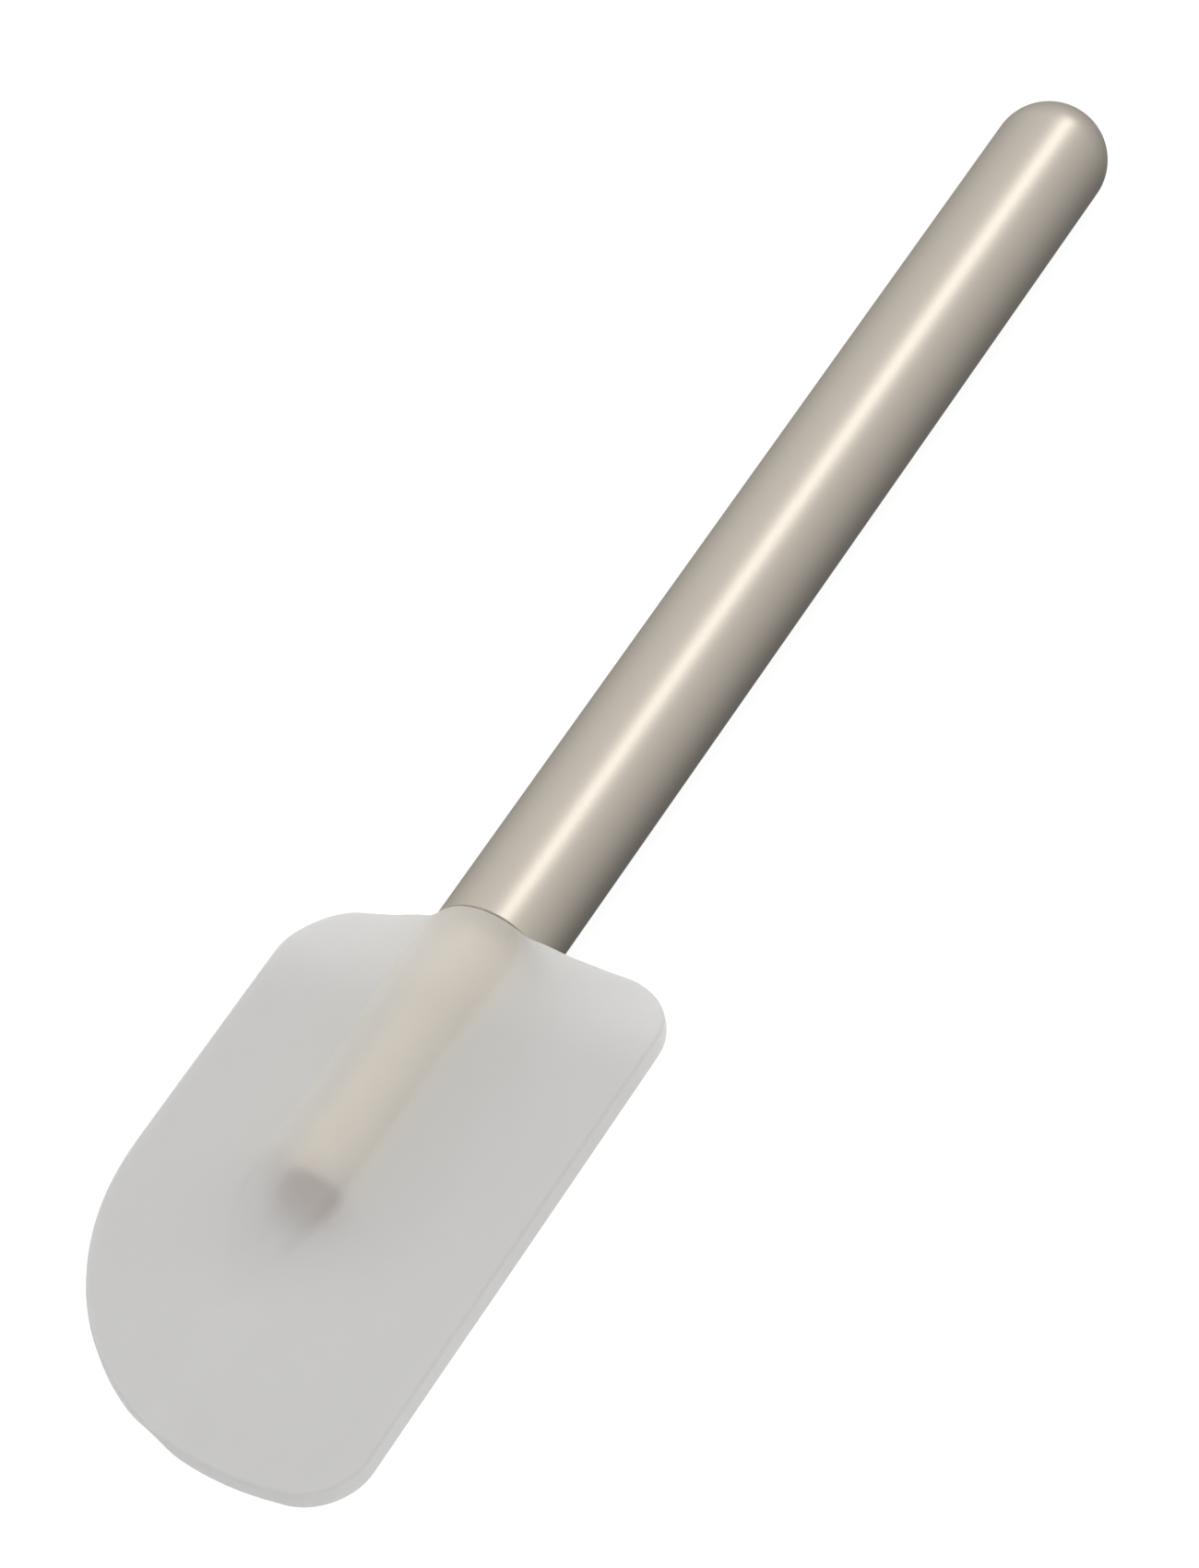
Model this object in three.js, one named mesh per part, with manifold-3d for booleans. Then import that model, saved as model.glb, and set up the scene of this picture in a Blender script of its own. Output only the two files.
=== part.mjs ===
// A bowl scraper: a thin silicone head that pushes over a stiff tang, on a round hollow metal handle.
//
// Millimetres. +X runs along the tool from the handle's domed end to the head's tip, +Y points to the
// straight scraping edge, and +Z points up out of the head's face. The tool lies level: the handle's
// underside is at Z = 0, and the origin is under the middle of the tool's length and width.
//
// The shapes are made in "tool coordinates", whose origin is on the handle's axis at the joint between
// handle and head. The exported group moves them into the frame above.
//
// How it comes apart: the head pulls off along +X. That uncovers the head of a socket screw and its two
// washers on the tang's end. The screw runs through the tang into a threaded bush in the tube's mouth.
import * as THREE from "three";
import { mergeVertices } from "three/addons/utils/BufferGeometryUtils.js";
import Module from "manifold-3d";

// ---------------------------------------------------------------- driving dimensions
const HANDLE_RADIUS = 8;
const HANDLE_LENGTH = 167; // joint to the top of the dome
const WALL = 1; // of the tube
const HEAD_LENGTH = 88; // joint to tip
const STRAIGHT_EDGE_Y = 29; // the two long edges' distances from the handle's axis
const ROUND_EDGE_Y = 26;
const SHOULDER_RADIUS = 8.4;
const HEEL_RADIUS = 8; // the tip's small corner, on the straight edge
const SWEEP_RADIUS = 45; // the tip's big corner, which fits the side of a bowl
const JOINT_GAP = 0.3; // between the tube's mouth and the head
const TANG_LENGTH = 44; // joint to the tang's end
const TANG_RADIUS = 4.6;
const SCREW_RADIUS = 2; // M4
const SCREW_LENGTH = 70; // under the head
const SOCKET_DEPTH = 48; // in the silicone: it holds the tang, the washers and the screw's head

// ---------------------------------------------------------------- derived and fixed details
const EDGE_HALF = 0.45; // half thicknesses of the head: at its edges, along the tang, and near the tip
const CREST_HALF = 6.5;
const PLATE_HALF = 1.8;
const CREST_SLOPE = 0.217; // fall of the roof from the crest to each long edge
const CREST_ROUNDING = 5; // how far from its middle the crest is rounded
const LEVEL_START = 66; // the head is level and of one thickness from here to the bevel at its edges
const BEVEL_REACH = 7;
const RIB_ROOT_RADIUS = HANDLE_RADIUS - 0.05; // the round rib that covers the tang
const RIB_END_RADIUS = 6.8;
const RIB_TAPER = 22; // length over which the rib narrows from its root
const HEAD_STATIONS = 34; // the head's mesh: steps along it and across it
const HEAD_SPANS = 38;
const SMALLEST_STEP = 0.004;

const SOCKET_CLEARANCE = 0.25;
const KEY_REACH = 5.6; // the tang's two keys stop the head turning
const KEY_HALF = 1;
const KEY_START = 1.5;
const KEY_END = 12;

const BORE_RADIUS = HANDLE_RADIUS - WALL;
const SPIGOT_LENGTH = 14; // of the tang, inside the tube
const SPIGOT_RADIUS = BORE_RADIUS - 0.15;
const SPIGOT_SETBACK = 0.2; // of its shoulder from the tube's mouth
const SCREW_HOLE_RADIUS = SCREW_RADIUS + 0.25;

const SEAL_SECTION = 0.72; // radius of the seal ring's round section
const SEAL_RADIUS = BORE_RADIUS - SEAL_SECTION - 0.05;
const SEAL_X = -5;
const SEAL_GROOVE_HALF = 1.1;
const SEAL_GROOVE_FLOOR = SEAL_RADIUS - SEAL_SECTION - 0.1;

const FLAT_WASHER = { inner: 2.15, outer: 4, thickness: 0.5 };
const SPRING_WASHER = { inner: 2.05, outer: 3.8, thickness: 0.9, split: 0.16 };
const STACK_GAP = 0.15; // between faces that are screwed together
const SCREW_HEAD = { radius: 4, height: 1.8, chamfer: 0.35, hexAcrossCorners: 2.89, hexDepth: 1.4 };

const THREAD_CLEARANCE = 0.1;
const BUSH_LENGTH = 20;
const BUSH_RADIUS = BORE_RADIUS - 0.1;

const ROUND_STEPS = 48; // sides of a round piece
const SMALL_STEPS = 28; // sides of a small one
const ARC_STEPS = 10; // steps of a quarter circle in a profile
const THROUGH = 200; // long enough to cut through anything here

const FINISH = {
  silicone: { color: 0xe4e4e1, roughness: 0.45, metalness: 0 },
  tang: { color: 0xdccfb4, roughness: 0.55, metalness: 0 },
  handle: { color: 0xb9b1a3, roughness: 0.3, metalness: 0.6 },
  steel: { color: 0x4a3b2d, roughness: 0.5, metalness: 1 },
  brass: { color: 0xc3a15a, roughness: 0.4, metalness: 1 },
  seal: { color: 0x26282a, roughness: 0.7, metalness: 0 },
};

// ---------------------------------------------------------------- helpers
const wasm = await Module();
wasm.setup();

// A closed three.js geometry as a manifold-3d solid.
function solidOf(geometry) {
  const bare = geometry.index ? geometry.toNonIndexed() : geometry.clone();
  bare.deleteAttribute("normal");
  bare.deleteAttribute("uv");
  const merged = mergeVertices(bare, 1e-4);
  return new wasm.Manifold(
    new wasm.Mesh({
      numProp: 3,
      vertProperties: new Float32Array(merged.attributes.position.array),
      triVerts: new Uint32Array(merged.index.array),
    }),
  );
}

function geometryOf(solid) {
  const mesh = solid.getMesh();
  const geometry = new THREE.BufferGeometry();
  geometry.setAttribute("position", new THREE.BufferAttribute(mesh.vertProperties, 3));
  geometry.setIndex(new THREE.BufferAttribute(mesh.triVerts, 1));
  geometry.computeVertexNormals();
  return geometry;
}

// Turns a closed profile of [x, radius] points about the tool's axis.
function turned(profile, steps = ROUND_STEPS) {
  const points = profile.map(([x, radius]) => new THREE.Vector2(radius, x));
  const geometry = new THREE.LatheGeometry(points, steps);
  geometry.rotateZ(-Math.PI / 2);
  return solidOf(geometry);
}

// A round bar or hole from one x to another.
function bar(from, to, radius, steps = ROUND_STEPS) {
  return turned([[from, 0], [from, radius], [to, radius], [to, 0]], steps);
}

// Points of an arc about [cx, cr], from one angle to another, in a profile's [x, radius] plane.
function arc(cx, cr, rx, rr, from, to, steps = ARC_STEPS) {
  return Array.from({ length: steps + 1 }, (_, i) => {
    const angle = from + ((to - from) * i) / steps;
    return [cx + rx * Math.cos(angle), cr + rr * Math.sin(angle)];
  });
}

function boxBetween(low, high) {
  const size = high.map((h, i) => h - low[i]);
  const geometry = new THREE.BoxGeometry(...size);
  geometry.translate(...low.map((l, i) => l + size[i] / 2));
  return solidOf(geometry);
}

// ---------------------------------------------------------------- the head
const SWEEP_X = HEAD_LENGTH - SWEEP_RADIUS;
const SWEEP_Y = SWEEP_RADIUS - ROUND_EDGE_Y;
const HEEL_X = HEAD_LENGTH - HEEL_RADIUS;
const HEEL_Y = STRAIGHT_EDGE_Y - HEEL_RADIUS;
const SHOULDER_X = JOINT_GAP + SHOULDER_RADIUS;

const mix = (a, b, t) => a + (b - a) * t;

// 0 to 1, level at both ends.
function ease(value) {
  const t = Math.min(Math.max(value, 0), 1);
  return t * t * (3 - 2 * t);
}

// How far a circle's edge is from its centre's line, at a distance along that line.
const bulge = (radius, along) => Math.sqrt(Math.max(radius * radius - along * along, 0));

// The plan at one station: two square shoulders, a straight edge, a small corner and a big swept corner.
function roundEdge(x) {
  if (x < SHOULDER_X) return SHOULDER_RADIUS - ROUND_EDGE_Y - bulge(SHOULDER_RADIUS, SHOULDER_X - x);
  return x > SWEEP_X ? SWEEP_Y - bulge(SWEEP_RADIUS, x - SWEEP_X) : -ROUND_EDGE_Y;
}

function straightEdge(x) {
  if (x < SHOULDER_X) return STRAIGHT_EDGE_Y - SHOULDER_RADIUS + bulge(SHOULDER_RADIUS, SHOULDER_X - x);
  return x > HEEL_X ? HEEL_Y + bulge(HEEL_RADIUS, x - HEEL_X) : STRAIGHT_EDGE_Y;
}

// How far a point is from the nearest long edge or the tip.
function edgeDistance(x, y) {
  const inSweep = x > SWEEP_X && y < SWEEP_Y;
  const inHeel = x > HEEL_X && y > HEEL_Y;
  const sweep = SWEEP_RADIUS - Math.hypot(x - SWEEP_X, y - SWEEP_Y);
  const heel = HEEL_RADIUS - Math.hypot(x - HEEL_X, y - HEEL_Y);
  const lower = inSweep ? sweep : y + ROUND_EDGE_Y;
  const upper = inHeel ? heel : Math.min(STRAIGHT_EDGE_Y - y, HEAD_LENGTH - x);
  return Math.max(Math.min(lower, upper), 0);
}

// A low roof beside the tang, which sinks to a level plate near the tip.
function plateHalf(x, y) {
  const level = mix(EDGE_HALF, PLATE_HALF, Math.min(edgeDistance(x, y) / BEVEL_REACH, 1));
  const roof = Math.max(CREST_HALF - CREST_SLOPE * Math.hypot(y, CREST_ROUNDING), EDGE_HALF);
  return mix(roof, level, pastTang(x));
}

// 0 beside the tang, rising to 1 where the plate is level.
const pastTang = (x) => ease((x - SOCKET_DEPTH) / (LEVEL_START - SOCKET_DEPTH));

// The rib is round, flush with the handle at the joint, and dies away past the tang.
function ribHalf(x, y) {
  const radius = mix(RIB_ROOT_RADIUS, RIB_END_RADIUS, ease(x / RIB_TAPER));
  return bulge(radius * (1 - pastTang(x)), y);
}

// The solid head: upper and lower skins over one grid, closed by a wall round the edge.
function headBlank() {
  const points = [];
  for (let i = 0; i <= HEAD_STATIONS; i++) {
    const x = mix(JOINT_GAP, HEAD_LENGTH, (1 - Math.cos((Math.PI * i) / HEAD_STATIONS)) / 2);
    for (let j = 0; j <= HEAD_SPANS; j++) {
      const y = mix(roundEdge(x), straightEdge(x), j / HEAD_SPANS);
      points.push([x, y, Math.max(plateHalf(x, y), ribHalf(x, y))]);
    }
  }
  return solidOf(skinned(points));
}

function skinned(points) {
  const row = HEAD_SPANS + 1;
  const count = points.length;
  const vertices = [...points, ...points.map(([x, y, z]) => [x, y, -z])];
  const faces = [];
  const quad = (a, b, c, d) => faces.push(a, b, c, a, c, d);
  for (let i = 0; i < HEAD_STATIONS; i++) {
    for (let j = 0; j < HEAD_SPANS; j++) {
      const a = i * row + j;
      quad(a, a + row, a + row + 1, a + 1);
      quad(a + count, a + count + 1, a + count + row + 1, a + count + row);
    }
    const low = i * row;
    const high = low + HEAD_SPANS;
    quad(low, low + count, low + count + row, low + row);
    quad(high, high + row, high + row + count, high + count);
  }
  for (let j = 0; j < HEAD_SPANS; j++) {
    const tip = HEAD_STATIONS * row + j;
    quad(j, j + 1, j + 1 + count, j + count);
    quad(tip, tip + count, tip + 1 + count, tip + 1);
  }
  const geometry = new THREE.BufferGeometry();
  geometry.setAttribute("position", new THREE.Float32BufferAttribute(vertices.flat(), 3));
  geometry.setIndex(faces);
  return geometry;
}

// The blind socket, with a keyway on each side, is the tang's shape and a little clearance.
function headSocket() {
  const hole = bar(-1, SOCKET_DEPTH, TANG_RADIUS + SOCKET_CLEARANCE);
  const reach = KEY_REACH + SOCKET_CLEARANCE;
  const half = KEY_HALF + SOCKET_CLEARANCE;
  const keyways = boxBetween([-1, -reach, -half], [KEY_END + SOCKET_CLEARANCE, reach, half]);
  return hole.add(keyways);
}

// Simplifying joins the facets of the level area, which is exactly flat, and leaves the curved ones.
function siliconeHead() {
  return headBlank().subtract(headSocket()).simplify(SMALLEST_STEP);
}

// ---------------------------------------------------------------- the tang and what fastens it
function tangCore() {
  const spigotChamfer = 0.8;
  const endChamfer = 0.4;
  const body = turned(
    [
      [-SPIGOT_LENGTH, 0],
      [-SPIGOT_LENGTH, SPIGOT_RADIUS - spigotChamfer],
      [-SPIGOT_LENGTH + spigotChamfer, SPIGOT_RADIUS],
      [-SPIGOT_SETBACK, SPIGOT_RADIUS],
      [-SPIGOT_SETBACK, TANG_RADIUS],
      [TANG_LENGTH - endChamfer, TANG_RADIUS],
      [TANG_LENGTH, TANG_RADIUS - endChamfer],
      [TANG_LENGTH, 0],
    ],
  );
  const keys = boxBetween([KEY_START, -KEY_REACH, -KEY_HALF], [KEY_END, KEY_REACH, KEY_HALF]);
  return body
    .add(keys)
    .subtract(ringCut(SEAL_X, SEAL_GROOVE_HALF, SEAL_GROOVE_FLOOR))
    .subtract(bar(-THROUGH / 2, THROUGH / 2, SCREW_HOLE_RADIUS, SMALL_STEPS));
}

// A ring that cuts a groove down to the given radius.
function ringCut(x, half, floor) {
  const outside = HANDLE_RADIUS + 2;
  return bar(x - half, x + half, outside).subtract(bar(x - half - 1, x + half + 1, floor));
}

function sealRing() {
  return turned(arc(SEAL_X, SEAL_RADIUS, SEAL_SECTION, SEAL_SECTION, 2 * Math.PI, 0, 12));
}

function washer({ inner, outer, thickness }, from) {
  const disc = bar(from, from + thickness, outer, SMALL_STEPS);
  return disc.subtract(bar(from - 1, from + thickness + 1, inner, SMALL_STEPS));
}

const FLAT_WASHER_X = TANG_LENGTH + STACK_GAP;
const SPRING_WASHER_X = FLAT_WASHER_X + FLAT_WASHER.thickness + STACK_GAP;
const SCREW_HEAD_X = SPRING_WASHER_X + SPRING_WASHER.thickness + STACK_GAP;

// Flattened by the screw, with the slanting split that gives it its spring.
function springWasher() {
  const reach = SPRING_WASHER.outer + 1;
  const slit = new THREE.BoxGeometry(4, reach, 2 * SPRING_WASHER.split);
  slit.translate(0, reach / 2, 0);
  slit.rotateY(Math.PI / 5);
  slit.translate(SPRING_WASHER_X + SPRING_WASHER.thickness / 2, 0, 0);
  return washer(SPRING_WASHER, SPRING_WASHER_X).subtract(solidOf(slit));
}

function tangScrew() {
  const { radius, height, chamfer, hexAcrossCorners, hexDepth } = SCREW_HEAD;
  const top = SCREW_HEAD_X + height;
  const end = SCREW_HEAD_X - SCREW_LENGTH;
  const body = turned(
    [
      [end, 0],
      [end, SCREW_RADIUS - chamfer],
      [end + chamfer, SCREW_RADIUS],
      [SCREW_HEAD_X, SCREW_RADIUS],
      [SCREW_HEAD_X, radius],
      [top - chamfer, radius],
      [top, radius - chamfer],
      [top, 0],
    ],
    SMALL_STEPS,
  );
  return body.subtract(bar(top - hexDepth, top + 1, hexAcrossCorners / 2, 6));
}

function threadedBush() {
  const front = -SPIGOT_LENGTH - STACK_GAP;
  const back = front - BUSH_LENGTH;
  const chamfer = 0.5;
  const outside = turned(
    [
      [back, 0],
      [back, BUSH_RADIUS - chamfer],
      [back + chamfer, BUSH_RADIUS],
      [front - chamfer, BUSH_RADIUS],
      [front, BUSH_RADIUS - chamfer],
      [front, 0],
    ],
  );
  return outside.subtract(bar(back - 1, front + 1, SCREW_RADIUS + THREAD_CLEARANCE, SMALL_STEPS));
}

// ---------------------------------------------------------------- the handle
// One drawn tube: open at the joint, closed by a dome at the other end.
function handleTube() {
  const domeX = HANDLE_RADIUS - HANDLE_LENGTH;
  const bevel = 0.3;
  const outside = arc(domeX, 0, HANDLE_RADIUS, HANDLE_RADIUS, Math.PI, 0.5 * Math.PI);
  const inside = arc(domeX, 0, BORE_RADIUS, BORE_RADIUS, 0.5 * Math.PI, Math.PI);
  return turned(
    [
      ...outside,
      [-bevel, HANDLE_RADIUS],
      [0, HANDLE_RADIUS - bevel],
      [0, BORE_RADIUS],
      ...inside,
    ],
  );
}

// ---------------------------------------------------------------- the tool
const tool = new THREE.Group();
tool.position.set((HANDLE_LENGTH - HEAD_LENGTH) / 2, (ROUND_EDGE_Y - STRAIGHT_EDGE_Y) / 2, HANDLE_RADIUS);

function addPiece(name, solid, finish) {
  const mesh = new THREE.Mesh(geometryOf(solid), new THREE.MeshStandardMaterial(FINISH[finish]));
  mesh.name = name;
  tool.add(mesh);
}

addPiece("silicone_head", siliconeHead(), "silicone");
addPiece("tang_core", tangCore(), "tang");
addPiece("tang_screw", tangScrew(), "steel");
addPiece("flat_washer", washer(FLAT_WASHER, FLAT_WASHER_X), "steel");
addPiece("spring_washer", springWasher(), "steel");
addPiece("seal_ring", sealRing(), "seal");
addPiece("threaded_bush", threadedBush(), "brass");
addPiece("handle_tube", handleTube(), "handle");

const scraper = new THREE.Group();
scraper.add(tool);

export default scraper;
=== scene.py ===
"""A bowl scraper: a frosted silicone head that pushes over a cream tang, on a satin champagne handle."""

import math

import bmesh
import bpy
from mathutils import Matrix, Vector
from mathutils.geometry import delaunay_2d_cdt


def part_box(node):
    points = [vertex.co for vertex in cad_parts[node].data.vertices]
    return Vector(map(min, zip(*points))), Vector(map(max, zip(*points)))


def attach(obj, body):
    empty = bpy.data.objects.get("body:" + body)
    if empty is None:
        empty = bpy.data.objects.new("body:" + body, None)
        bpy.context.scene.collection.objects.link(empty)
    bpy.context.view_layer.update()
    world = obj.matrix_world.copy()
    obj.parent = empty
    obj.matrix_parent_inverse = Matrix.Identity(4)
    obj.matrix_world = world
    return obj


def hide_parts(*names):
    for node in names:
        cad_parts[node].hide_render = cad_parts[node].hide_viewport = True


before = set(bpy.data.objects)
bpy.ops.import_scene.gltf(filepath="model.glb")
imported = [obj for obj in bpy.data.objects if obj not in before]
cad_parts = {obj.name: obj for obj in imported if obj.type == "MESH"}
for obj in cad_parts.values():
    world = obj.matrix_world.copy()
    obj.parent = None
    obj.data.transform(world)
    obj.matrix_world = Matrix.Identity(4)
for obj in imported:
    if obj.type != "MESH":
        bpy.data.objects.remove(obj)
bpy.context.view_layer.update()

MM = 0.001
TINY = 1e-6
SAME_POINT = 1e-5

# ---------------------------------------------------------------- sizes
# Lengths are in millimetres. The frame's boxes, and what is multiplied by MM, are in metres.
# "Tool coordinates" have their origin on the handle's axis, at the joint between handle and head.
HANDLE_LOW, HANDLE_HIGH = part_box("handle_tube")
HEAD_LOW, HEAD_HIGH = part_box("silicone_head")
HANDLE_RADIUS = (HANDLE_HIGH.z - HANDLE_LOW.z) / 2 / MM
HANDLE_MIDDLE = (HANDLE_LOW + HANDLE_HIGH) / 2
TOOL_ORIGIN = Vector((HANDLE_HIGH.x, HANDLE_MIDDLE.y, HANDLE_MIDDLE.z))
HANDLE_LENGTH = (HANDLE_HIGH.x - HANDLE_LOW.x) / MM
HEAD_START = 0.2  # the seam at the tube's mouth, a little thinner than the CAD's gap
HEAD_LENGTH = (HEAD_HIGH.x - TOOL_ORIGIN.x) / MM
STRAIGHT_Y = (HEAD_HIGH.y - TOOL_ORIGIN.y) / MM
ROUND_Y = (HEAD_LOW.y - TOOL_ORIGIN.y) / MM

WALL = 1.0
BORE_RADIUS = HANDLE_RADIUS - WALL
SHOULDER_RADIUS = 8.4
HEEL_RADIUS = 8.0  # the tip's small corner, on the straight edge
SWEEP_RADIUS = 45.0  # the tip's big corner

# Half the head's thickness: at its edges, at the roof's crest before rounding, and on the level plate.
EDGE_HALF = 0.45
CREST_HALF = 6.5
PLATE_HALF = 1.8
CREST_SLOPE = 0.217  # the roof's fall to each side of the axis, for each millimetre
CREST_ROUNDING = 5.0
ROOF_SOFTNESS = 0.3  # in square millimetres: how softly the roof meets the edge's thickness
BEVEL_REACH = 7.0
LEVEL_START = 66.0  # from here to the tip the plate is level, inside its bevel
RIB_ROOT = HANDLE_RADIUS - 0.05
RIB_END = 6.8
RIB_TAPER = 22.0
RIB_BLEND = 4.5  # how softly the rib runs into the roof, with MOUTH_BLEND at the joint
MOUTH_BLEND, BLEND_START = 1.6, 10.0
RIB_CREST = 5.0  # the blend adds nothing on the axis, and all of its height from here outwards
ROUNDING, MOST_ROUNDING, ROUNDING_SHARE, ROUNDING_LIMIT = 0.5, 0.9, 0.35, 0.95
MOUTH_ROUNDING, MOUTH_FADE = 0.1, 6.0
RING_INSETS = (0.0, 0.06, 0.14, 0.25, 0.38, 0.52, 0.7, 1.0, 1.4, 1.9)  # rings of mesh at the rim
GRID_STEP, ROW_SHARE, GRID_MARGIN = 0.75, 0.8, 0.35  # the grid of mesh inside the rings

TANG_LENGTH = 44.0
SOCKET_DEPTH = 48.0
TANG_RADIUS = 4.6
CLEARANCE = 0.25
KEY_REACH, KEY_HALF, KEY_START, KEY_END = 5.6, 1.0, 1.5, 12.0
SPIGOT_LENGTH, SPIGOT_RADIUS, SPIGOT_SETBACK = 14.0, BORE_RADIUS - 0.15, 0.2
SEAL_X, SEAL_HALF, SEAL_FLOOR = -5.0, 1.1, 5.4
SCREW_LOW, SCREW_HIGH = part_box("tang_screw")
SCREW_END, SCREW_TOP = ((corner.x - TOOL_ORIGIN.x) / MM for corner in (SCREW_LOW, SCREW_HIGH))
SCREW_RADIUS, SCREW_HOLE = 2.0, 2.25
SCREW_HEAD_RADIUS, SCREW_HEAD_HEIGHT = 4.0, 1.8
HEX_RADIUS, HEX_DEPTH = 1.445, 1.4

PAINTED_LIGHT_REACH = 16.0 * MM  # how far the painted light, a lighter base colour that makes up for the tube's shade, reaches from the joint


# ---------------------------------------------------------------- mesh helpers
MERGE_DISTANCE = 1e-7  # in metres


def link(name, mesh):
    obj = bpy.data.objects.new(name, mesh)
    bpy.context.scene.collection.objects.link(obj)
    return obj


def placed(points):
    """Points in tool millimetres as frame metres."""
    return [TOOL_ORIGIN + Vector(p) * MM for p in points]


def mesh_object(name, points, faces):
    mesh = bpy.data.meshes.new(name)
    mesh.from_pydata(placed(points), [], faces)
    mesh.update()
    return link(name, mesh)


def lathe(name, profile, steps):
    """Turns (x, radius) points about the tool's axis."""
    points, rings = [], []
    for x, radius in profile:
        if radius < TINY:
            rings.append([len(points)] * steps)
            points.append((x, 0.0, 0.0))
            continue
        rings.append(list(range(len(points), len(points) + steps)))
        for i in range(steps):
            a = math.tau * i / steps
            points.append((x, radius * math.cos(a), radius * math.sin(a)))
    faces = []
    for low, high in zip(rings, rings[1:]):
        for i in range(steps):
            j = (i + 1) % steps
            quad = [low[i], low[j], high[j], high[i]]
            face = [v for k, v in enumerate(quad) if v != quad[k - 1]]
            if len(face) > 2:
                faces.append(face)
    obj = mesh_object(name, points, faces)
    recalculate(obj)
    return obj


def recalculate(obj):
    """Joins points that coincide, and turns every face outwards."""
    bm = bmesh.new()
    bm.from_mesh(obj.data)
    bmesh.ops.remove_doubles(bm, verts=bm.verts, dist=MERGE_DISTANCE)
    bmesh.ops.recalc_face_normals(bm, faces=bm.faces)
    bm.to_mesh(obj.data)
    bm.free()


def box_between(name, low, high):
    points = [(x, y, z) for x in (low[0], high[0]) for y in (low[1], high[1]) for z in (low[2], high[2])]
    faces = [(0, 1, 3, 2), (4, 6, 7, 5), (0, 4, 5, 1), (2, 3, 7, 6), (0, 2, 6, 4), (1, 5, 7, 3)]
    obj = mesh_object(name, points, faces)
    recalculate(obj)
    return obj


def combine(obj, tool, operation):
    modifier = obj.modifiers.new("cut", "BOOLEAN")
    modifier.operation = operation
    modifier.solver = "EXACT"
    modifier.object = tool
    apply_modifiers(obj)
    bpy.data.objects.remove(tool)


def apply_modifiers(obj):
    graph = bpy.context.evaluated_depsgraph_get()
    mesh = bpy.data.meshes.new_from_object(obj.evaluated_get(graph))
    obj.modifiers.clear()
    obj.data = mesh


def smooth(obj, angle):
    obj.data.shade_smooth()
    obj.data.set_sharp_from_angle(angle=math.radians(angle))


def finish_piece(obj, body, material, slot, *nodes):
    obj.data.materials.clear()
    obj.data.materials.append(material)
    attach(obj, body)
    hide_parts(*nodes)


def ease(t):
    t = min(max(t, 0.0), 1.0)
    return t * t * (3 - 2 * t)


def mix(a, b, t):
    return a + (b - a) * t


def arc(cx, cr, radius, start, end, steps):
    """Points of an arc from one angle to another, in degrees."""
    angles = [math.radians(mix(start, end, i / steps)) for i in range(steps + 1)]
    return [(cx + radius * math.cos(a), cr + radius * math.sin(a)) for a in angles]


# ---------------------------------------------------------------- node helpers
NOISE_LOW, NOISE_HIGH = 0.3, 0.7  # the range that most of a noise texture's values lie in
MIX_COLOUR_INPUTS, MIX_COLOUR_OUTPUT = (0, 6, 7), 2  # a Mix node's sockets, where it mixes colours


def node_material(name):
    material = bpy.data.materials.new(name)
    material.use_nodes = True
    tree = material.node_tree
    shader = tree.nodes["Principled BSDF"]
    return material, tree, shader


def add(tree, kind, **settings):
    node = tree.nodes.new(kind)
    for key, value in settings.items():
        if key in node.inputs:
            node.inputs[key].default_value = value
        else:
            setattr(node, key, value)
    return node


def coordinates(tree, scale=(1.0, 1.0, 1.0)):
    where = add(tree, "ShaderNodeTexCoord")
    stretch = add(tree, "ShaderNodeMapping", Scale=scale)
    tree.links.new(where.outputs["Object"], stretch.inputs["Vector"])
    return stretch.outputs["Vector"]


def noise(tree, vector, scale, detail=3.0, roughness=0.5):
    node = add(tree, "ShaderNodeTexNoise", Scale=scale, Detail=detail, Roughness=roughness)
    tree.links.new(vector, node.inputs["Vector"])
    return node.outputs["Fac"]


def ramp(tree, value, low, high):
    """Maps a 0 to 1 texture value to the range low to high, a number or a colour."""
    if isinstance(low, tuple):
        return blend_colours(tree, value, (*low, 1), (*high, 1))
    limits = {"From Min": NOISE_LOW, "From Max": NOISE_HIGH, "To Min": low, "To Max": high}
    node = add(tree, "ShaderNodeMapRange", **limits)
    tree.links.new(value, node.inputs["Value"])
    return node.outputs["Result"]


def blend_colours(tree, share, low, high):
    """The colour between low and high, each of which is a colour or a socket."""
    node = add(tree, "ShaderNodeMix", data_type="RGBA")
    factor, first, second = (node.inputs[i] for i in MIX_COLOUR_INPUTS)
    tree.links.new(share, factor)
    for socket, colour in ((first, low), (second, high)):
        if isinstance(colour, tuple):
            socket.default_value = colour
        else:
            tree.links.new(colour, socket)
    return node.outputs[MIX_COLOUR_OUTPUT]


def vary(tree, shader, socket, value, low, high):
    """Lets a texture value move one of the shader's sockets between low and high."""
    tree.links.new(ramp(tree, value, low, high), shader.inputs[socket])


def bump(tree, shader, height, distance):
    node = add(tree, "ShaderNodeBump", Distance=distance, Strength=1.0)
    tree.links.new(height, node.inputs["Height"])
    tree.links.new(node.outputs["Normal"], shader.inputs["Normal"])


def set_shader(shader, **settings):
    for key, value in settings.items():
        shader.inputs[key.replace("_", " ")].default_value = value


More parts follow.
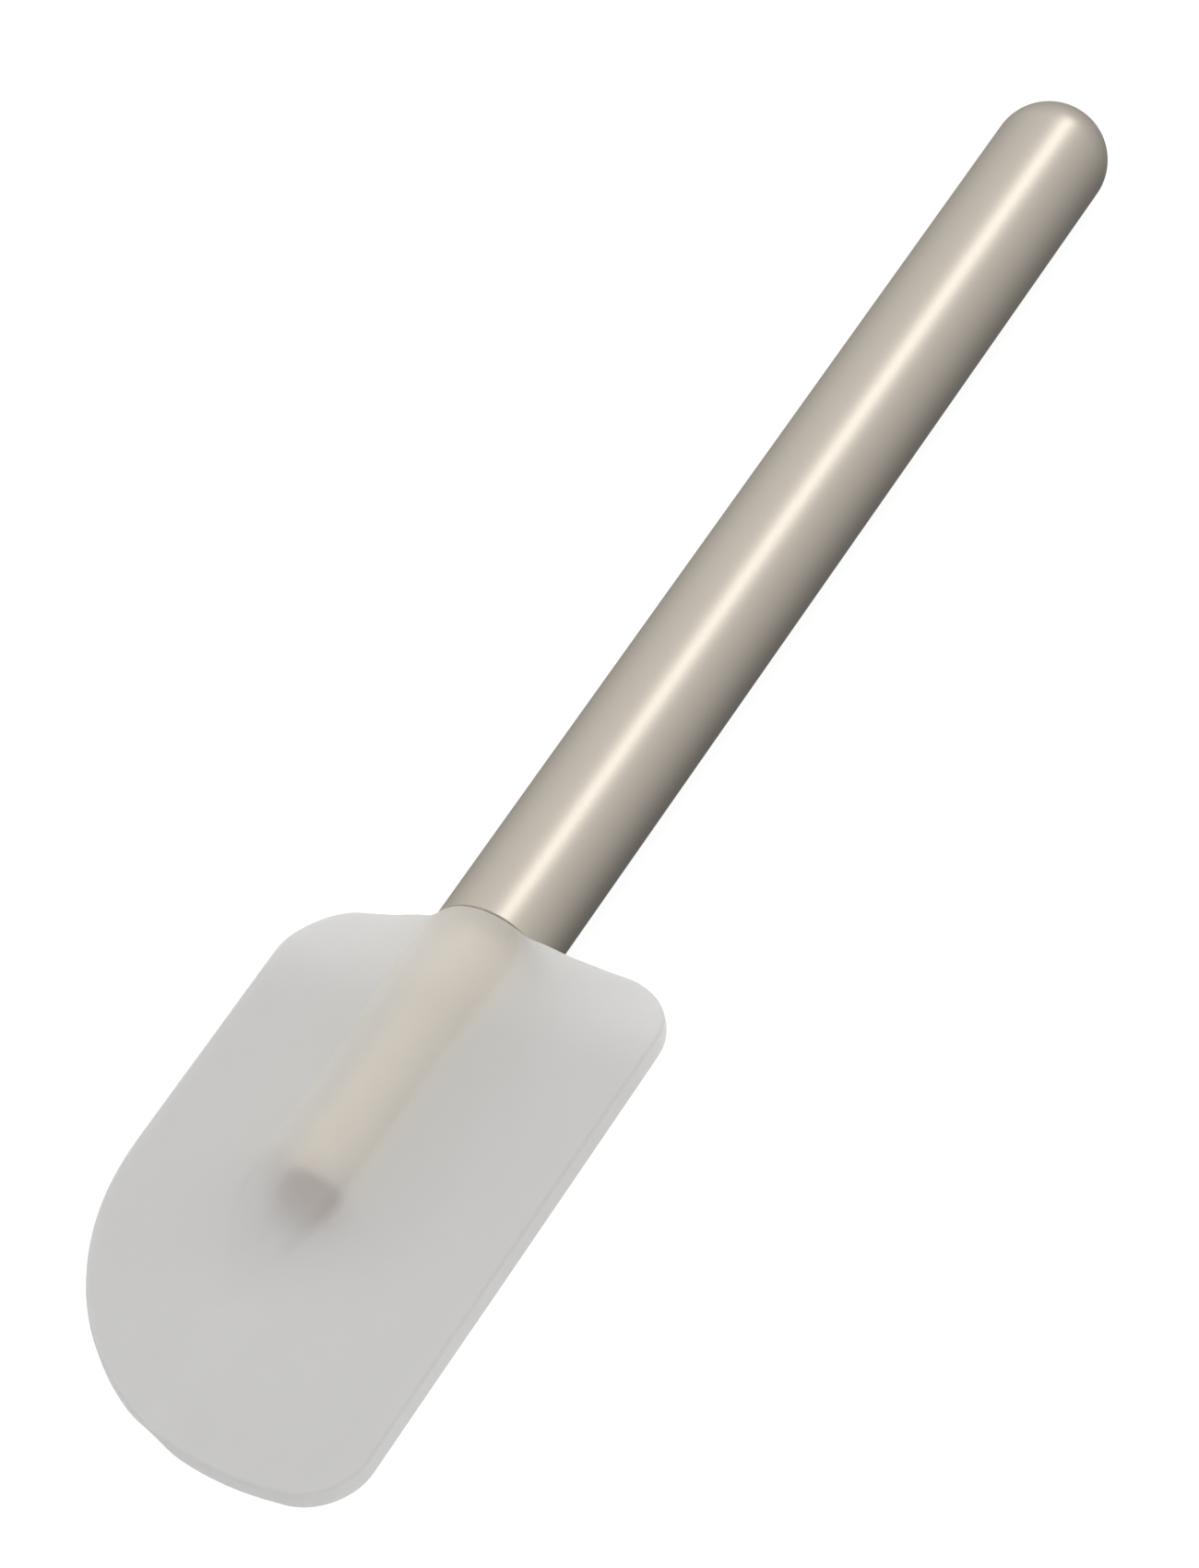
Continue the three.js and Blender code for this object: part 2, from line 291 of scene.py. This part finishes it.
# ---------------------------------------------------------------- materials
def silicone_material():
    """Frosted silicone: part of the light is scattered and part goes softly through."""
    material, tree, shader = node_material("frosted_silicone")
    cloud = noise(tree, coordinates(tree), 60.0)
    usual_tone = ramp(tree, cloud, (0.605, 0.603, 0.596), (0.625, 0.623, 0.616))
    painted_light_tone = ramp(tree, cloud, (0.77, 0.768, 0.76), (0.79, 0.788, 0.78))
    # Painted light: the base colour is lighter near the joint, to make up for the shade that the tube
    # casts into the neck.
    tree.links.new(blend_colours(tree, painted_neck_light_share(tree), usual_tone, painted_light_tone), shader.inputs["Base Color"])
    fine = noise(tree, coordinates(tree), 900.0, 2.0)
    vary(tree, shader, "Roughness", fine, 0.85, 0.9)
    bump(tree, shader, fine, 0.00003)
    set_shader(shader, Transmission_Weight=0.6, IOR=1.37)
    milk = add(tree, "ShaderNodeBsdfTranslucent", Color=(0.645, 0.64, 0.632, 1))
    body = add(tree, "ShaderNodeMixShader", Fac=0.4)
    tree.links.new(shader.outputs[0], body.inputs[1])
    tree.links.new(milk.outputs[0], body.inputs[2])
    let_lamps_through(tree, body, 0.95)
    return material


def painted_neck_light_share(tree):
    """1 at the head's end by the joint, where light is painted into the base colour to make up for the
    tube's shade, easing to 0 along PAINTED_LIGHT_REACH.
    """
    where = add(tree, "ShaderNodeTexCoord")
    split = add(tree, "ShaderNodeSeparateXYZ")
    tree.links.new(where.outputs["Object"], split.inputs[0])
    ends = {"From Min": HEAD_LOW.x + PAINTED_LIGHT_REACH, "From Max": HEAD_LOW.x}
    place = add(tree, "ShaderNodeMapRange", interpolation_type="SMOOTHSTEP", **ends)
    tree.links.new(split.outputs["X"], place.inputs["Value"])
    return place.outputs["Result"]


def let_lamps_through(tree, shader, share):
    """Rays from lamps pass the surface, dimmed, so that what is inside is lit."""
    clear = add(tree, "ShaderNodeBsdfTransparent", Color=(share, share, share, 1))
    path = add(tree, "ShaderNodeLightPath")
    blend = add(tree, "ShaderNodeMixShader")
    tree.links.new(path.outputs["Is Shadow Ray"], blend.inputs[0])
    tree.links.new(shader.outputs[0], blend.inputs[1])
    tree.links.new(clear.outputs[0], blend.inputs[2])
    tree.links.new(blend.outputs[0], tree.nodes["Material Output"].inputs["Surface"])


def socket_material():
    """The socket's wall, which clings to the tang, so that no second surface is seen there."""
    material, tree, _ = node_material("silicone_socket")
    clear = add(tree, "ShaderNodeBsdfTransparent", Color=(1, 1, 1, 1))
    tree.links.new(clear.outputs[0], tree.nodes["Material Output"].inputs["Surface"])
    return material


def champagne_material():
    """Satin anodised metal, bead blasted before it was coloured."""
    material, tree, shader = node_material("champagne_metal")
    cloud = noise(tree, coordinates(tree, (0.3, 1, 1)), 90.0)
    vary(tree, shader, "Base Color", cloud, (0.575, 0.525, 0.455), (0.595, 0.545, 0.475))
    grain = noise(tree, coordinates(tree), 3000.0, 3.0, 0.6)
    vary(tree, shader, "Roughness", grain, 0.33, 0.37)
    bump(tree, shader, grain, 0.000004)
    set_shader(shader, Metallic=1.0, Specular_Tint=(0.85, 0.84, 0.82, 1))
    return material


def tang_material():
    """Matt moulded plastic."""
    material, tree, shader = node_material("cream_plastic")
    cloud = noise(tree, coordinates(tree, (0.4, 1, 1)), 120.0)
    vary(tree, shader, "Base Color", cloud, (0.87, 0.777, 0.63), (0.89, 0.797, 0.65))
    fine = noise(tree, coordinates(tree), 1500.0, 2.0)
    vary(tree, shader, "Roughness", fine, 0.45, 0.52)
    bump(tree, shader, fine, 0.00002)
    return material


def plain_metal(name, colour, low, high, stretch):
    """A turned or treated metal of one colour, its roughness between low and high."""
    material, tree, shader = node_material(name)
    streak = noise(tree, coordinates(tree, stretch), 800.0, 3.0)
    dark = tuple(0.9 * c for c in colour)
    vary(tree, shader, "Base Color", streak, dark, colour)
    vary(tree, shader, "Roughness", streak, low, high)
    bump(tree, shader, streak, 0.000008)
    set_shader(shader, Metallic=1.0)
    return material


def seal_material():
    """Black rubber."""
    material, tree, shader = node_material("black_rubber")
    fine = noise(tree, coordinates(tree), 2000.0)
    vary(tree, shader, "Base Color", fine, (0.018, 0.018, 0.02), (0.03, 0.03, 0.032))
    vary(tree, shader, "Roughness", fine, 0.5, 0.65)
    return material


# ---------------------------------------------------------------- the head
SWEEP_X, SWEEP_Y = HEAD_LENGTH - SWEEP_RADIUS, ROUND_Y + SWEEP_RADIUS
HEEL_X, HEEL_Y = HEAD_LENGTH - HEEL_RADIUS, STRAIGHT_Y - HEEL_RADIUS
SHOULDER_X = HEAD_START + SHOULDER_RADIUS


def outline(inset):
    """The head's outline in plan, anticlockwise, moved inwards by inset."""
    low, high, start = ROUND_Y + SHOULDER_RADIUS, STRAIGHT_Y - SHOULDER_RADIUS, HEAD_START + inset
    points = arc(SHOULDER_X, low, SHOULDER_RADIUS - inset, 180, 270, 30)
    points += line(points[-1], (SWEEP_X, ROUND_Y + inset), 30)
    points += arc(SWEEP_X, SWEEP_Y, SWEEP_RADIUS - inset, -90, 0, 90)
    points += arc(HEEL_X, HEEL_Y, HEEL_RADIUS - inset, 0, 90, 30)
    points += line(points[-1], (SHOULDER_X, STRAIGHT_Y - inset), 60)
    points += arc(SHOULDER_X, high, SHOULDER_RADIUS - inset, 90, 180, 30)
    points += line(points[-1], (start, low), 70)
    return dedupe(points)


def line(start, end, steps):
    return [tuple(mix(s, e, i / steps) for s, e in zip(start, end)) for i in range(1, steps)]


def dedupe(points):
    kept = []
    for p in points:
        if not kept or math.dist(p, kept[-1]) > SAME_POINT:
            kept.append(p)
    if math.dist(kept[0], kept[-1]) < SAME_POINT:
        kept.pop()
    return kept


def free_edge_distance(x, y):
    """How far a point is from the nearest long edge or the tip: the shoulders don't count."""
    if x > SWEEP_X and y < SWEEP_Y:
        lower = SWEEP_RADIUS - math.hypot(x - SWEEP_X, y - SWEEP_Y)
    else:
        lower = min(y - ROUND_Y, HEAD_LENGTH - x)
    if x > HEEL_X and y > HEEL_Y:
        return min(lower, HEEL_RADIUS - math.hypot(x - HEEL_X, y - HEEL_Y))
    return min(lower, STRAIGHT_Y - y, HEAD_LENGTH - x)


def edge_distance(x, y):
    """How far a point is from the whole outline."""
    distance = min(free_edge_distance(x, y), x - HEAD_START)
    for cy, side in ((ROUND_Y + SHOULDER_RADIUS, -1), (STRAIGHT_Y - SHOULDER_RADIUS, 1)):
        if x < SHOULDER_X and (y - cy) * side > 0:
            distance = min(distance, SHOULDER_RADIUS - math.hypot(x - SHOULDER_X, y - cy))
    return max(distance, 0.0)


def plate_half(x, y):
    """Half the plate's thickness: a low roof beside the tang, sinking to a level plate."""
    level = mix(EDGE_HALF, PLATE_HALF, ease(free_edge_distance(x, y) / BEVEL_REACH))
    roof = CREST_HALF - CREST_SLOPE * math.hypot(y, CREST_ROUNDING)
    spare = roof - EDGE_HALF
    roof = EDGE_HALF + (spare + math.sqrt(spare * spare + ROOF_SOFTNESS)) / 2
    return mix(roof, level, past_tang(x))


def past_tang(x):
    """0 beside the tang, rising to 1 where the plate is level."""
    return ease((x - SOCKET_DEPTH) / (LEVEL_START - SOCKET_DEPTH))


def rib_half(x, y):
    """Half the height of the round rib over the tang."""
    radius = mix(RIB_ROOT, RIB_END, ease(x / RIB_TAPER)) * (1 - past_tang(x))
    return math.sqrt(max(radius * radius - y * y, 0.0))


def half_thickness(x, y):
    """The plate and the rib in one, with a soft blend, and rounded off all round the outline."""
    plate, rib = plate_half(x, y), rib_half(x, y)
    blend = mix(MOUTH_BLEND, RIB_BLEND, ease(x / BLEND_START))
    overlap = max(blend - abs(plate - rib), 0.0) / blend
    half = max(plate, rib) + overlap * overlap * blend / 4 * ease(abs(y) / RIB_CREST)
    rounding = edge_rounding(x, y, half)
    d = min(edge_distance(x, y), rounding)
    return half - rounding + math.sqrt(max(rounding**2 - (rounding - d) ** 2, 0.0))


def edge_rounding(x, y, half):
    """The radius of the rounded edge, which is smallest round the tube's mouth."""
    radius = min(max(ROUNDING_SHARE * half, ROUNDING), MOST_ROUNDING)
    if x < SHOULDER_X:
        radius = mix(MOUTH_ROUNDING, radius, ease((abs(y) - HANDLE_RADIUS) / MOUTH_FADE))
    return min(radius, ROUNDING_LIMIT * half)


def plan_points():
    """Points that cover the head's plan: rings beside the outline, and an even grid inside them."""
    rings = [outline(inset) for inset in RING_INSETS]
    points = [p for ring in rings for p in ring]
    row_step = GRID_STEP * ROW_SHARE
    columns = int((HEAD_LENGTH - HEAD_START) / GRID_STEP)
    rows = int((STRAIGHT_Y - ROUND_Y) / row_step)
    for i in range(columns + 1):
        for j in range(rows + 1):
            x = HEAD_START + (i + 0.5 * (j % 2)) * GRID_STEP
            y = ROUND_Y + j * row_step
            if edge_distance(x, y) > RING_INSETS[-1] + GRID_MARGIN:
                points.append((x, y))
    return points, len(rings[0])


INSIDE_BORDER = 1  # tells delaunay_2d_cdt to keep only the triangles inside the border


def head_shell():
    """The solid head: the plan as an upper and a lower surface, with a wall between their rims."""
    points, rim = plan_points()
    border = [(i, (i + 1) % rim) for i in range(rim)]
    flat = [Vector(p) for p in points]
    plan, _, faces, *_ = delaunay_2d_cdt(flat, border, [], INSIDE_BORDER, TINY)
    count = len(plan)
    rim_verts = rim_numbers(plan, points[:rim])
    upper = [(p.x, p.y, half_thickness(p.x, p.y)) for p in plan]
    vertices = upper + [(x, y, -z) for x, y, z in upper]
    solid = [tuple(f) for f in faces] + [tuple(v + count for v in reversed(f)) for f in faces]
    for i, j in zip(rim_verts, rim_verts[1:] + rim_verts[:1]):
        solid.append((i, i + count, j + count, j))
    obj = mesh_object("head", vertices, solid)
    recalculate(obj)
    return obj


def rim_numbers(plan, rim_points):
    """The numbers that the rim's points have in the triangulated plan."""
    where = {(round(p.x, 5), round(p.y, 5)): i for i, p in enumerate(plan)}
    return [where[(round(Vector(p).x, 5), round(Vector(p).y, 5))] for p in rim_points]


def socket_tool():
    """The tang's shape and a little clearance, with a keyway on each side."""
    radius = TANG_RADIUS + CLEARANCE
    start, keyway_start = -1.0, -1.2  # both before the joint, and apart so that no two faces coincide
    profile = [(start, 0), (start, radius), (SOCKET_DEPTH, radius), (SOCKET_DEPTH, 0)]
    hole = lathe("socket", profile, 96)
    reach, half = KEY_REACH + CLEARANCE, KEY_HALF + CLEARANCE
    keyway = box_between("keyway", (keyway_start, -reach, -half), (KEY_END + CLEARANCE, reach, half))
    combine(hole, keyway, "UNION")
    return hole


def make_head():
    """The silicone head with its socket, whose wall has a material of its own."""
    head = head_shell()
    combine(head, socket_tool(), "DIFFERENCE")
    smooth(head, 40)
    finish_piece(head, "head", silicone_material(), "silicone", "silicone_head")
    head.data.materials.append(socket_material())
    for face in head.data.polygons:
        face.material_index = 1 if in_socket(face.center) else 0


def in_socket(point):
    """True for a point on the socket's wall, on the keyways' walls or on the socket's floor."""
    x, y, z = (point - TOOL_ORIGIN) / MM
    slack = 0.01
    if not HEAD_START + 2 * slack < x < SOCKET_DEPTH + slack:
        return False
    in_hole = math.hypot(y, z) < TANG_RADIUS + CLEARANCE + 3 * slack
    beside = abs(y) < KEY_REACH + CLEARANCE + slack and abs(z) < KEY_HALF + CLEARANCE + slack
    return in_hole or (beside and x < KEY_END + CLEARANCE + slack)


# ---------------------------------------------------------------- the handle and the tang
def make_handle():
    """One drawn tube, open at the joint and closed by a dome at the other end."""
    dome = HANDLE_RADIUS - HANDLE_LENGTH
    bevel, ring_step = 0.1, 5.0
    outside = arc(dome, 0, HANDLE_RADIUS, 180, 90, 40)
    body = [(dome + i * ring_step, HANDLE_RADIUS) for i in range(1, int(-dome / ring_step))]
    lip = arc(-bevel, HANDLE_RADIUS - bevel, bevel, 90, 0, 6)
    inside = arc(dome, 0, BORE_RADIUS, 90, 180, 24)
    profile = outside + body + lip + [(0, BORE_RADIUS)] + inside
    handle = lathe("handle", profile, 192)
    smooth(handle, 40)
    finish_piece(handle, "handle", champagne_material(), "handle_metal", "handle_tube")


def make_tang():
    """The stiff core: a spigot in the tube, and a round bar with two keys in the silicone."""
    chamfer, rounding, key_root = 0.8, 0.4, TANG_RADIUS - 1.5
    end = arc(TANG_LENGTH - rounding, TANG_RADIUS - rounding, rounding, 90, 0, 6)
    groove = [(SEAL_X - SEAL_HALF, SPIGOT_RADIUS), (SEAL_X - SEAL_HALF, SEAL_FLOOR),
              (SEAL_X + SEAL_HALF, SEAL_FLOOR), (SEAL_X + SEAL_HALF, SPIGOT_RADIUS)]
    profile = [(-SPIGOT_LENGTH, SCREW_HOLE), (-SPIGOT_LENGTH, SPIGOT_RADIUS - chamfer),
               (-SPIGOT_LENGTH + chamfer, SPIGOT_RADIUS), *groove,
               (-SPIGOT_SETBACK, SPIGOT_RADIUS), (-SPIGOT_SETBACK, TANG_RADIUS), *end,
               (TANG_LENGTH, SCREW_HOLE), (-SPIGOT_LENGTH, SCREW_HOLE)]
    tang = lathe("tang", profile, 96)
    for side in (-1, 1):
        low, high = sorted((side * key_root, side * KEY_REACH))
        key = box_between("key", (KEY_START, low, -KEY_HALF), (KEY_END, high, KEY_HALF))
        combine(tang, key, "UNION")
    smooth(tang, 35)
    finish_piece(tang, "handle", tang_material(), "tang_plastic", "tang_core")


def make_screw(steel):
    """The socket screw that holds the tang in the handle."""
    chamfer, rounding, seat = 0.35, 1.75, SCREW_TOP - SCREW_HEAD_HEIGHT
    crown = arc(SCREW_TOP - rounding, SCREW_HEAD_RADIUS - rounding, rounding, 90, 0, 12)
    profile = [(SCREW_END, 0), (SCREW_END, SCREW_RADIUS - chamfer), (SCREW_END + chamfer, SCREW_RADIUS),
               (seat, SCREW_RADIUS), (seat, SCREW_HEAD_RADIUS), *crown, (SCREW_TOP, 0)]
    screw = lathe("screw", profile, 96)
    low, high = SCREW_TOP - HEX_DEPTH, SCREW_TOP + 1
    hexagon = lathe("hex", [(low, 0), (low, HEX_RADIUS), (high, HEX_RADIUS), (high, 0)], 6)
    combine(screw, hexagon, "DIFFERENCE")
    smooth(screw, 35)
    finish_piece(screw, "handle", steel, "fastener_steel", "tang_screw")


def finish_fasteners():
    """Makes the screw finer. The washers, the bush and the seal keep their CAD shapes."""
    # Partly painted shade: the steel is real, but its dark brown colour also stands in for the shade at
    # the tang's end, where the screw head sits.
    steel = plain_metal("dark_steel_and_painted_shade", (0.28, 0.12, 0.045), 0.45, 0.55, (1, 1, 1))
    make_screw(steel)
    brass = plain_metal("turned_brass", (0.75, 0.56, 0.28), 0.25, 0.38, (4, 1, 1))
    finishes = {
        "flat_washer": steel,
        "spring_washer": steel,
        "threaded_bush": brass,
        "seal_ring": seal_material(),
    }
    for node, material in finishes.items():
        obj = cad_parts[node]
        obj.data.materials.clear()
        obj.data.materials.append(material)


# ---------------------------------------------------------------- the stage
CAMERA_TARGET = Vector((8.8, -2.15, 8.5)) * MM
CAMERA_AZIMUTH, CAMERA_ELEVATION, CAMERA_ROLL = 39.105, 41.427, -15.547
CAMERA_DISTANCE = 1.0143
CAMERA_LENS = 184.235


def make_camera():
    data = bpy.data.cameras.new("camera")
    data.lens, data.sensor_width, data.sensor_fit = CAMERA_LENS, 36.0, "AUTO"
    data.clip_start, data.clip_end = 0.01, 20.0
    camera = bpy.data.objects.new("camera", data)
    turn = Matrix.Rotation(math.radians(CAMERA_AZIMUTH + 90), 4, "Z")
    tilt = Matrix.Rotation(math.radians(90 - CAMERA_ELEVATION), 4, "X")
    roll = Matrix.Rotation(math.radians(CAMERA_ROLL), 4, "Z")
    facing = turn @ tilt @ roll
    back = facing @ Vector((0, 0, 1))
    camera.matrix_world = Matrix.Translation(CAMERA_TARGET + back * CAMERA_DISTANCE) @ facing
    bpy.context.scene.collection.objects.link(camera)
    bpy.context.scene.camera = camera


def area_light(name, direction, distance, size, radiance, target=(0, 0, 0)):
    """A rectangular softbox, whose first side runs along X."""
    data = bpy.data.lights.new(name, "AREA")
    data.shape, data.size, data.size_y = "RECTANGLE", size[0], size[1]
    data.energy = radiance * math.pi * size[0] * size[1]
    light = bpy.data.objects.new(name, data)
    back = Vector(direction).normalized()
    side = (Vector((1, 0, 0)) - back.x * back).normalized()
    up = back.cross(side)
    facing = Matrix((side, up, back)).transposed().to_4x4()
    light.matrix_world = Matrix.Translation(Vector(target) + back * distance) @ facing
    bpy.context.scene.collection.objects.link(light)
    return light


STRIP_DIRECTION = (-0.58, 0.308, 0.749)


def make_lights():
    """A strip and a wider glow for the handle's highlight, a side fill, and light from below."""
    area_light("strip", STRIP_DIRECTION, 1.3, (1.3, 0.34), 1.32, HANDLE_MIDDLE)
    area_light("glow", STRIP_DIRECTION, 1.35, (1.5, 0.8), 0.15, HANDLE_MIDDLE)
    soft = [area_light("fill", (0.0, -0.72, 0.69), 1.4, (1.2, 0.8), 2.4),
            area_light("table", (0.0, 0.0, -1.0), 0.6, (1.2, 1.2), 0.8)]
    for light in soft:
        light.visible_glossy = False
        light.visible_camera = False


def make_world():
    """A studio that is bright overhead and falls away to dark below the horizon."""
    # The sine of the height above the horizon, and the brightness there.
    stops = [(-0.85, 0.17), (-0.43, 0.44), (-0.1, 0.6), (0.2, 0.72), (0.5, 0.84), (0.85, 0.95)]
    world = bpy.data.worlds.new("studio")
    bpy.context.scene.world = world
    world.use_nodes = True
    tree = world.node_tree
    where = add(tree, "ShaderNodeTexCoord")
    split = add(tree, "ShaderNodeSeparateXYZ")
    height = add(tree, "ShaderNodeMapRange", **{"From Min": -1.0, "From Max": 1.0})
    shades = add(tree, "ShaderNodeValToRGB")
    elements = shades.color_ramp.elements
    for index, (z, level) in enumerate(stops):
        place = (z + 1) / 2
        element = elements[index] if index < 2 else elements.new(place)
        element.position, element.color = place, (level, level, level, 1)
    tree.links.new(where.outputs["Generated"], split.inputs["Vector"])
    tree.links.new(split.outputs["Z"], height.inputs["Value"])
    tree.links.new(height.outputs["Result"], shades.inputs["Fac"])
    tree.links.new(shades.outputs["Color"], tree.nodes["Background"].inputs["Color"])


def make_floor():
    """A pale floor that only the camera sees, so that it puts no tint on the object."""
    reach = 3.0
    mesh = bpy.data.meshes.new("floor")
    corners = [(-reach, -reach, 0), (reach, -reach, 0), (reach, reach, 0), (-reach, reach, 0)]
    mesh.from_pydata(corners, [], [(0, 1, 2, 3)])
    floor = link("floor", mesh)
    material, tree, shader = node_material("floor")
    cloud = noise(tree, coordinates(tree), 2.0)
    vary(tree, shader, "Base Color", cloud, (0.20, 0.20, 0.20), (0.21, 0.21, 0.21))
    set_shader(shader, Roughness=0.9, Specular_IOR_Level=0.0)
    set_shader(shader, Emission_Color=(1, 1, 1, 1), Emission_Strength=0.9)
    mesh.materials.append(material)
    floor.visible_glossy = floor.visible_diffuse = False
    floor.visible_transmission = floor.visible_shadow = False


def main():
    bpy.context.scene.view_settings.view_transform = "Standard"
    make_camera()
    make_world()
    make_lights()
    make_floor()
    make_handle()
    make_tang()
    make_head()
    finish_fasteners()


main()
